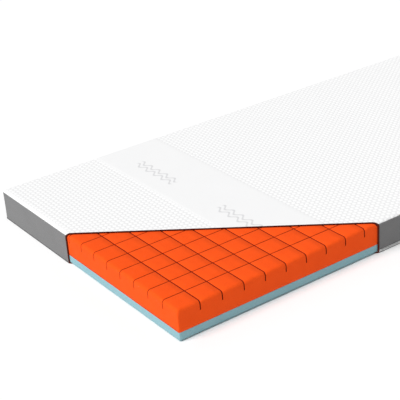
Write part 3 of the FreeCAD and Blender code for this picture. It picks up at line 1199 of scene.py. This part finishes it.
def coilTurn(name, low, high, flip):
    # one turn of the coil: a flattened loop that leans along the chain
    pitch, wire, thick = zipper["coilPitch"], zipper["coilWire"], zipper["coilThick"]
    middle, halfHeight = (low + high) / 2, (high - low) / 2 - wire
    line = []
    for angle in np.linspace(0, 2 * math.pi, 9)[:-1]:
        lean = pitch * zipper["coilLean"] * math.sin(angle)
        out = math.sin(angle) * (thick / 2 - wire)
        line.append((lean, out, middle + flip * math.cos(angle) * halfHeight))
    return tube(name, line, wire, 4, finishes["zip_coil"], closed=True)


pathStep = 0.02


def sideLine(start, end, inset, height):
    stops = sideStops(start, end, pathStep)
    point, outward, _ = sidePlace(stops)
    return np.column_stack([point - outward * inset, np.full(len(stops), height)])


def zipRow(name, node, low, high, flip, shift):
    turn = coilTurn("turn", low, high, flip)
    end = zipEnd - zipper["endGap"] - zipper["coilPitch"] / 2 + shift
    path = sideLine(zipper["startGap"] + shift, end, zipper["planeInset"], 0.0)
    piece = repeatAlong(name, path, turn, zipper["coilPitch"], finishes["zip_coil"], repeatLevel)
    bpy.data.objects.remove(turn)
    return finishPiece(piece, node)


middle, reach, halfPitch = zipper["height"], zipper["coilReach"], zipper["coilPitch"] / 2
zipRows = [
    zipRow("zip_coils_low", "zip_coil_lower", lowerCoil[0].z, middle + reach, 1, 0.0),
    zipRow("zip_coils_high", "zip_coil_upper", middle - reach, upperCoil[1].z, -1, halfPitch),
]
for node in ("zip_slider_body", "zip_pull_tab", "zip_end_stops"):
    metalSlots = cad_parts[node].data.materials
    metalSlots.clear()
    metalSlots.append(finishes["zip_metal"])
print("zip made:", [len(row.data.polygons) for row in zipRows])


# sewing: rows of small stitches along the seams
stitch = {"length": 0.0026, "spacing": 0.0034, "thick": 0.00028, "sides": 5, "startGap": 0.006,
          "endGap": 0.004, "topDrop": 0.0028}


def stitchItem(material):
    half = stitch["length"] / 2
    line = [(-half, 0, 0), (-half * 0.8, 0, 0), (0, 0, 0), (half * 0.8, 0, 0), (half, 0, 0)]
    thick = stitch["thick"]
    widths = [thick * 0.4, thick, thick * 1.15, thick, thick * 0.4]
    return tube("stitch", line, widths, stitch["sides"], material)


def stitchRow(name, path):
    material = finishes["thread"]
    item = stitchItem(material)
    piece = repeatAlong(name, path, item, stitch["spacing"], material, repeatAny)
    bpy.data.objects.remove(item)
    return fixTo(piece)


# dark piping along the lower edges of the side strips and of the underside: painted shade lines under the hem
# and where the cover meets the floor
piping = {"hemRadius": 0.0008, "hemRise": 0.0006, "footRadius": 0.0011, "footRise": 0.0009,
          "baseRadius": 0.0009, "baseHeight": 0.0013, "inset": 0.0005, "sides": 8, "step": 0.012}


def pipeRun(name, start, end, radius, height):
    angles = np.linspace(0, 2 * math.pi, piping["sides"], endpoint=False)
    profile = [(piping["inset"] + radius * math.sin(a), height + radius * math.cos(a)) for a in angles]
    pipe = sweepSides(name, profile, start, end, piping["step"], finishes["piping_painted_shade"])
    return fixTo(pipe)


pipeRun("hem_piping", 0.0, footSeam, piping["hemRadius"], hemHeight + piping["hemRise"])
pipeRun("base_piping", 0.0, footSeam, piping["baseRadius"], piping["baseHeight"])
pipeRun("foot_piping", footSeam + stripGap, pathLength, piping["footRadius"], footHem + piping["footRise"])
print("piping made")

seamLine = topSeam - stitch["topDrop"]
hemLine = hemHeight + border["hemStitchRise"]
seamStart = stitch["startGap"]
topStitches = stitchRow("top_seam_stitches", sideLine(
    seamStart, pathLength - seamStart, rollInset(seamLine) + 0.0001, seamLine))
stitchRow("hem_stitches", sideLine(seamStart, zipEnd - stitch["endGap"], border["stitchDip"], hemLine))
print("stitches made")


# blank satin label, sewn in above the hem
label = {"curl": 0.0008, "rows": 10, "columns": 6, "thick": 0.00035, "flat": (0.032, 0.044)}


def careLabel():
    low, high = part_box("care_label")
    rows, columns = label["rows"], label["columns"]
    points, count = [], columns + 1
    for layer in (0, 1):
        for r in range(rows + 1):
            for c in range(count):
                x = low.x + (high.x - low.x) * c / columns
                z = high.z - (high.z - low.z) * r / rows
                fall = r / rows
                lift = label["curl"] * fall ** 2 * (1 + 0.5 * math.cos(3 * c / columns))
                points.append((x, low.y + lift + layer * label["thick"], z))
    layerSize = (rows + 1) * count
    faces = []
    for r in range(rows):
        for c in range(columns):
            a = r * count + c
            faces.append((a, a + count, a + 1 + count, a + 1))
            b = a + layerSize
            faces.append((b, b + 1, b + 1 + count, b + count))
    rim = [c for c in range(count)] + [r * count + columns for r in range(1, rows + 1)]
    rim += [rows * count + c for c in range(columns - 1, -1, -1)]
    rim += [r * count for r in range(rows - 1, 0, -1)]
    for k, a in enumerate(rim):
        b = rim[(k + 1) % len(rim)]
        faces.append((a, b, b + layerSize, a + layerSize))
    return makeObject("blank_label", points, faces, finishes["label_satin"])


labelPiece = finishPiece(careLabel(), "care_label")


# plain pale studio
studio = {
    "floor": (0.95, 0.95, 0.95),
    "floorSize": 30.0,
    "floorGap": 0.0002,
    "world": 0.34,
    "backdrop": 0.98,
    "keyStrength": 3.03,
    "keyAngle": 40.0,
    "keyFrom": (-0.66, -0.01, 0.80),
}


def sunLight(name, towards, strength, angle):
    data = bpy.data.lights.new(name, "SUN")
    data.energy = strength
    data.angle = math.radians(angle)
    lamp = addObject(name, data)
    lamp.rotation_mode = "QUATERNION"
    lamp.rotation_quaternion = Vector(towards).to_track_quat("Z", "Y")


def makeStudio():
    half = studio["floorSize"] / 2
    material, tree, shader = startMaterial("paleFloor", 0.9)
    lighter = [c + 0.01 for c in studio["floor"]]
    noise = noiseNode(tree, objectPoint(tree), 5.0)
    tint = mixColour(tree, noise, (*studio["floor"], 1), (*lighter, 1))
    link(tree, tint, shader.inputs["Base Color"])
    corners = ((-half, -half), (half, -half), (half, half), (-half, half))
    points = [(*corner, -studio["floorGap"]) for corner in corners]
    makeObject("floor", points, [(0, 1, 2, 3)], material)
    world = bpy.data.worlds.new("studio")
    bpy.context.scene.world = world
    world.use_nodes = True
    background = world.node_tree.nodes["Background"]
    background.inputs["Color"].default_value = (1, 1, 1, 1)
    seen = world.node_tree.nodes.new("ShaderNodeLightPath").outputs["Is Camera Ray"]
    strength = rampNode(world.node_tree, seen, 0.0, 1.0, studio["world"], studio["backdrop"])
    link(world.node_tree, strength, background.inputs["Strength"])
    sunLight("key", studio["keyFrom"], studio["keyStrength"], studio["keyAngle"])
    bpy.context.scene.view_settings.view_transform = "Standard"


makeStudio()
print("studio made")
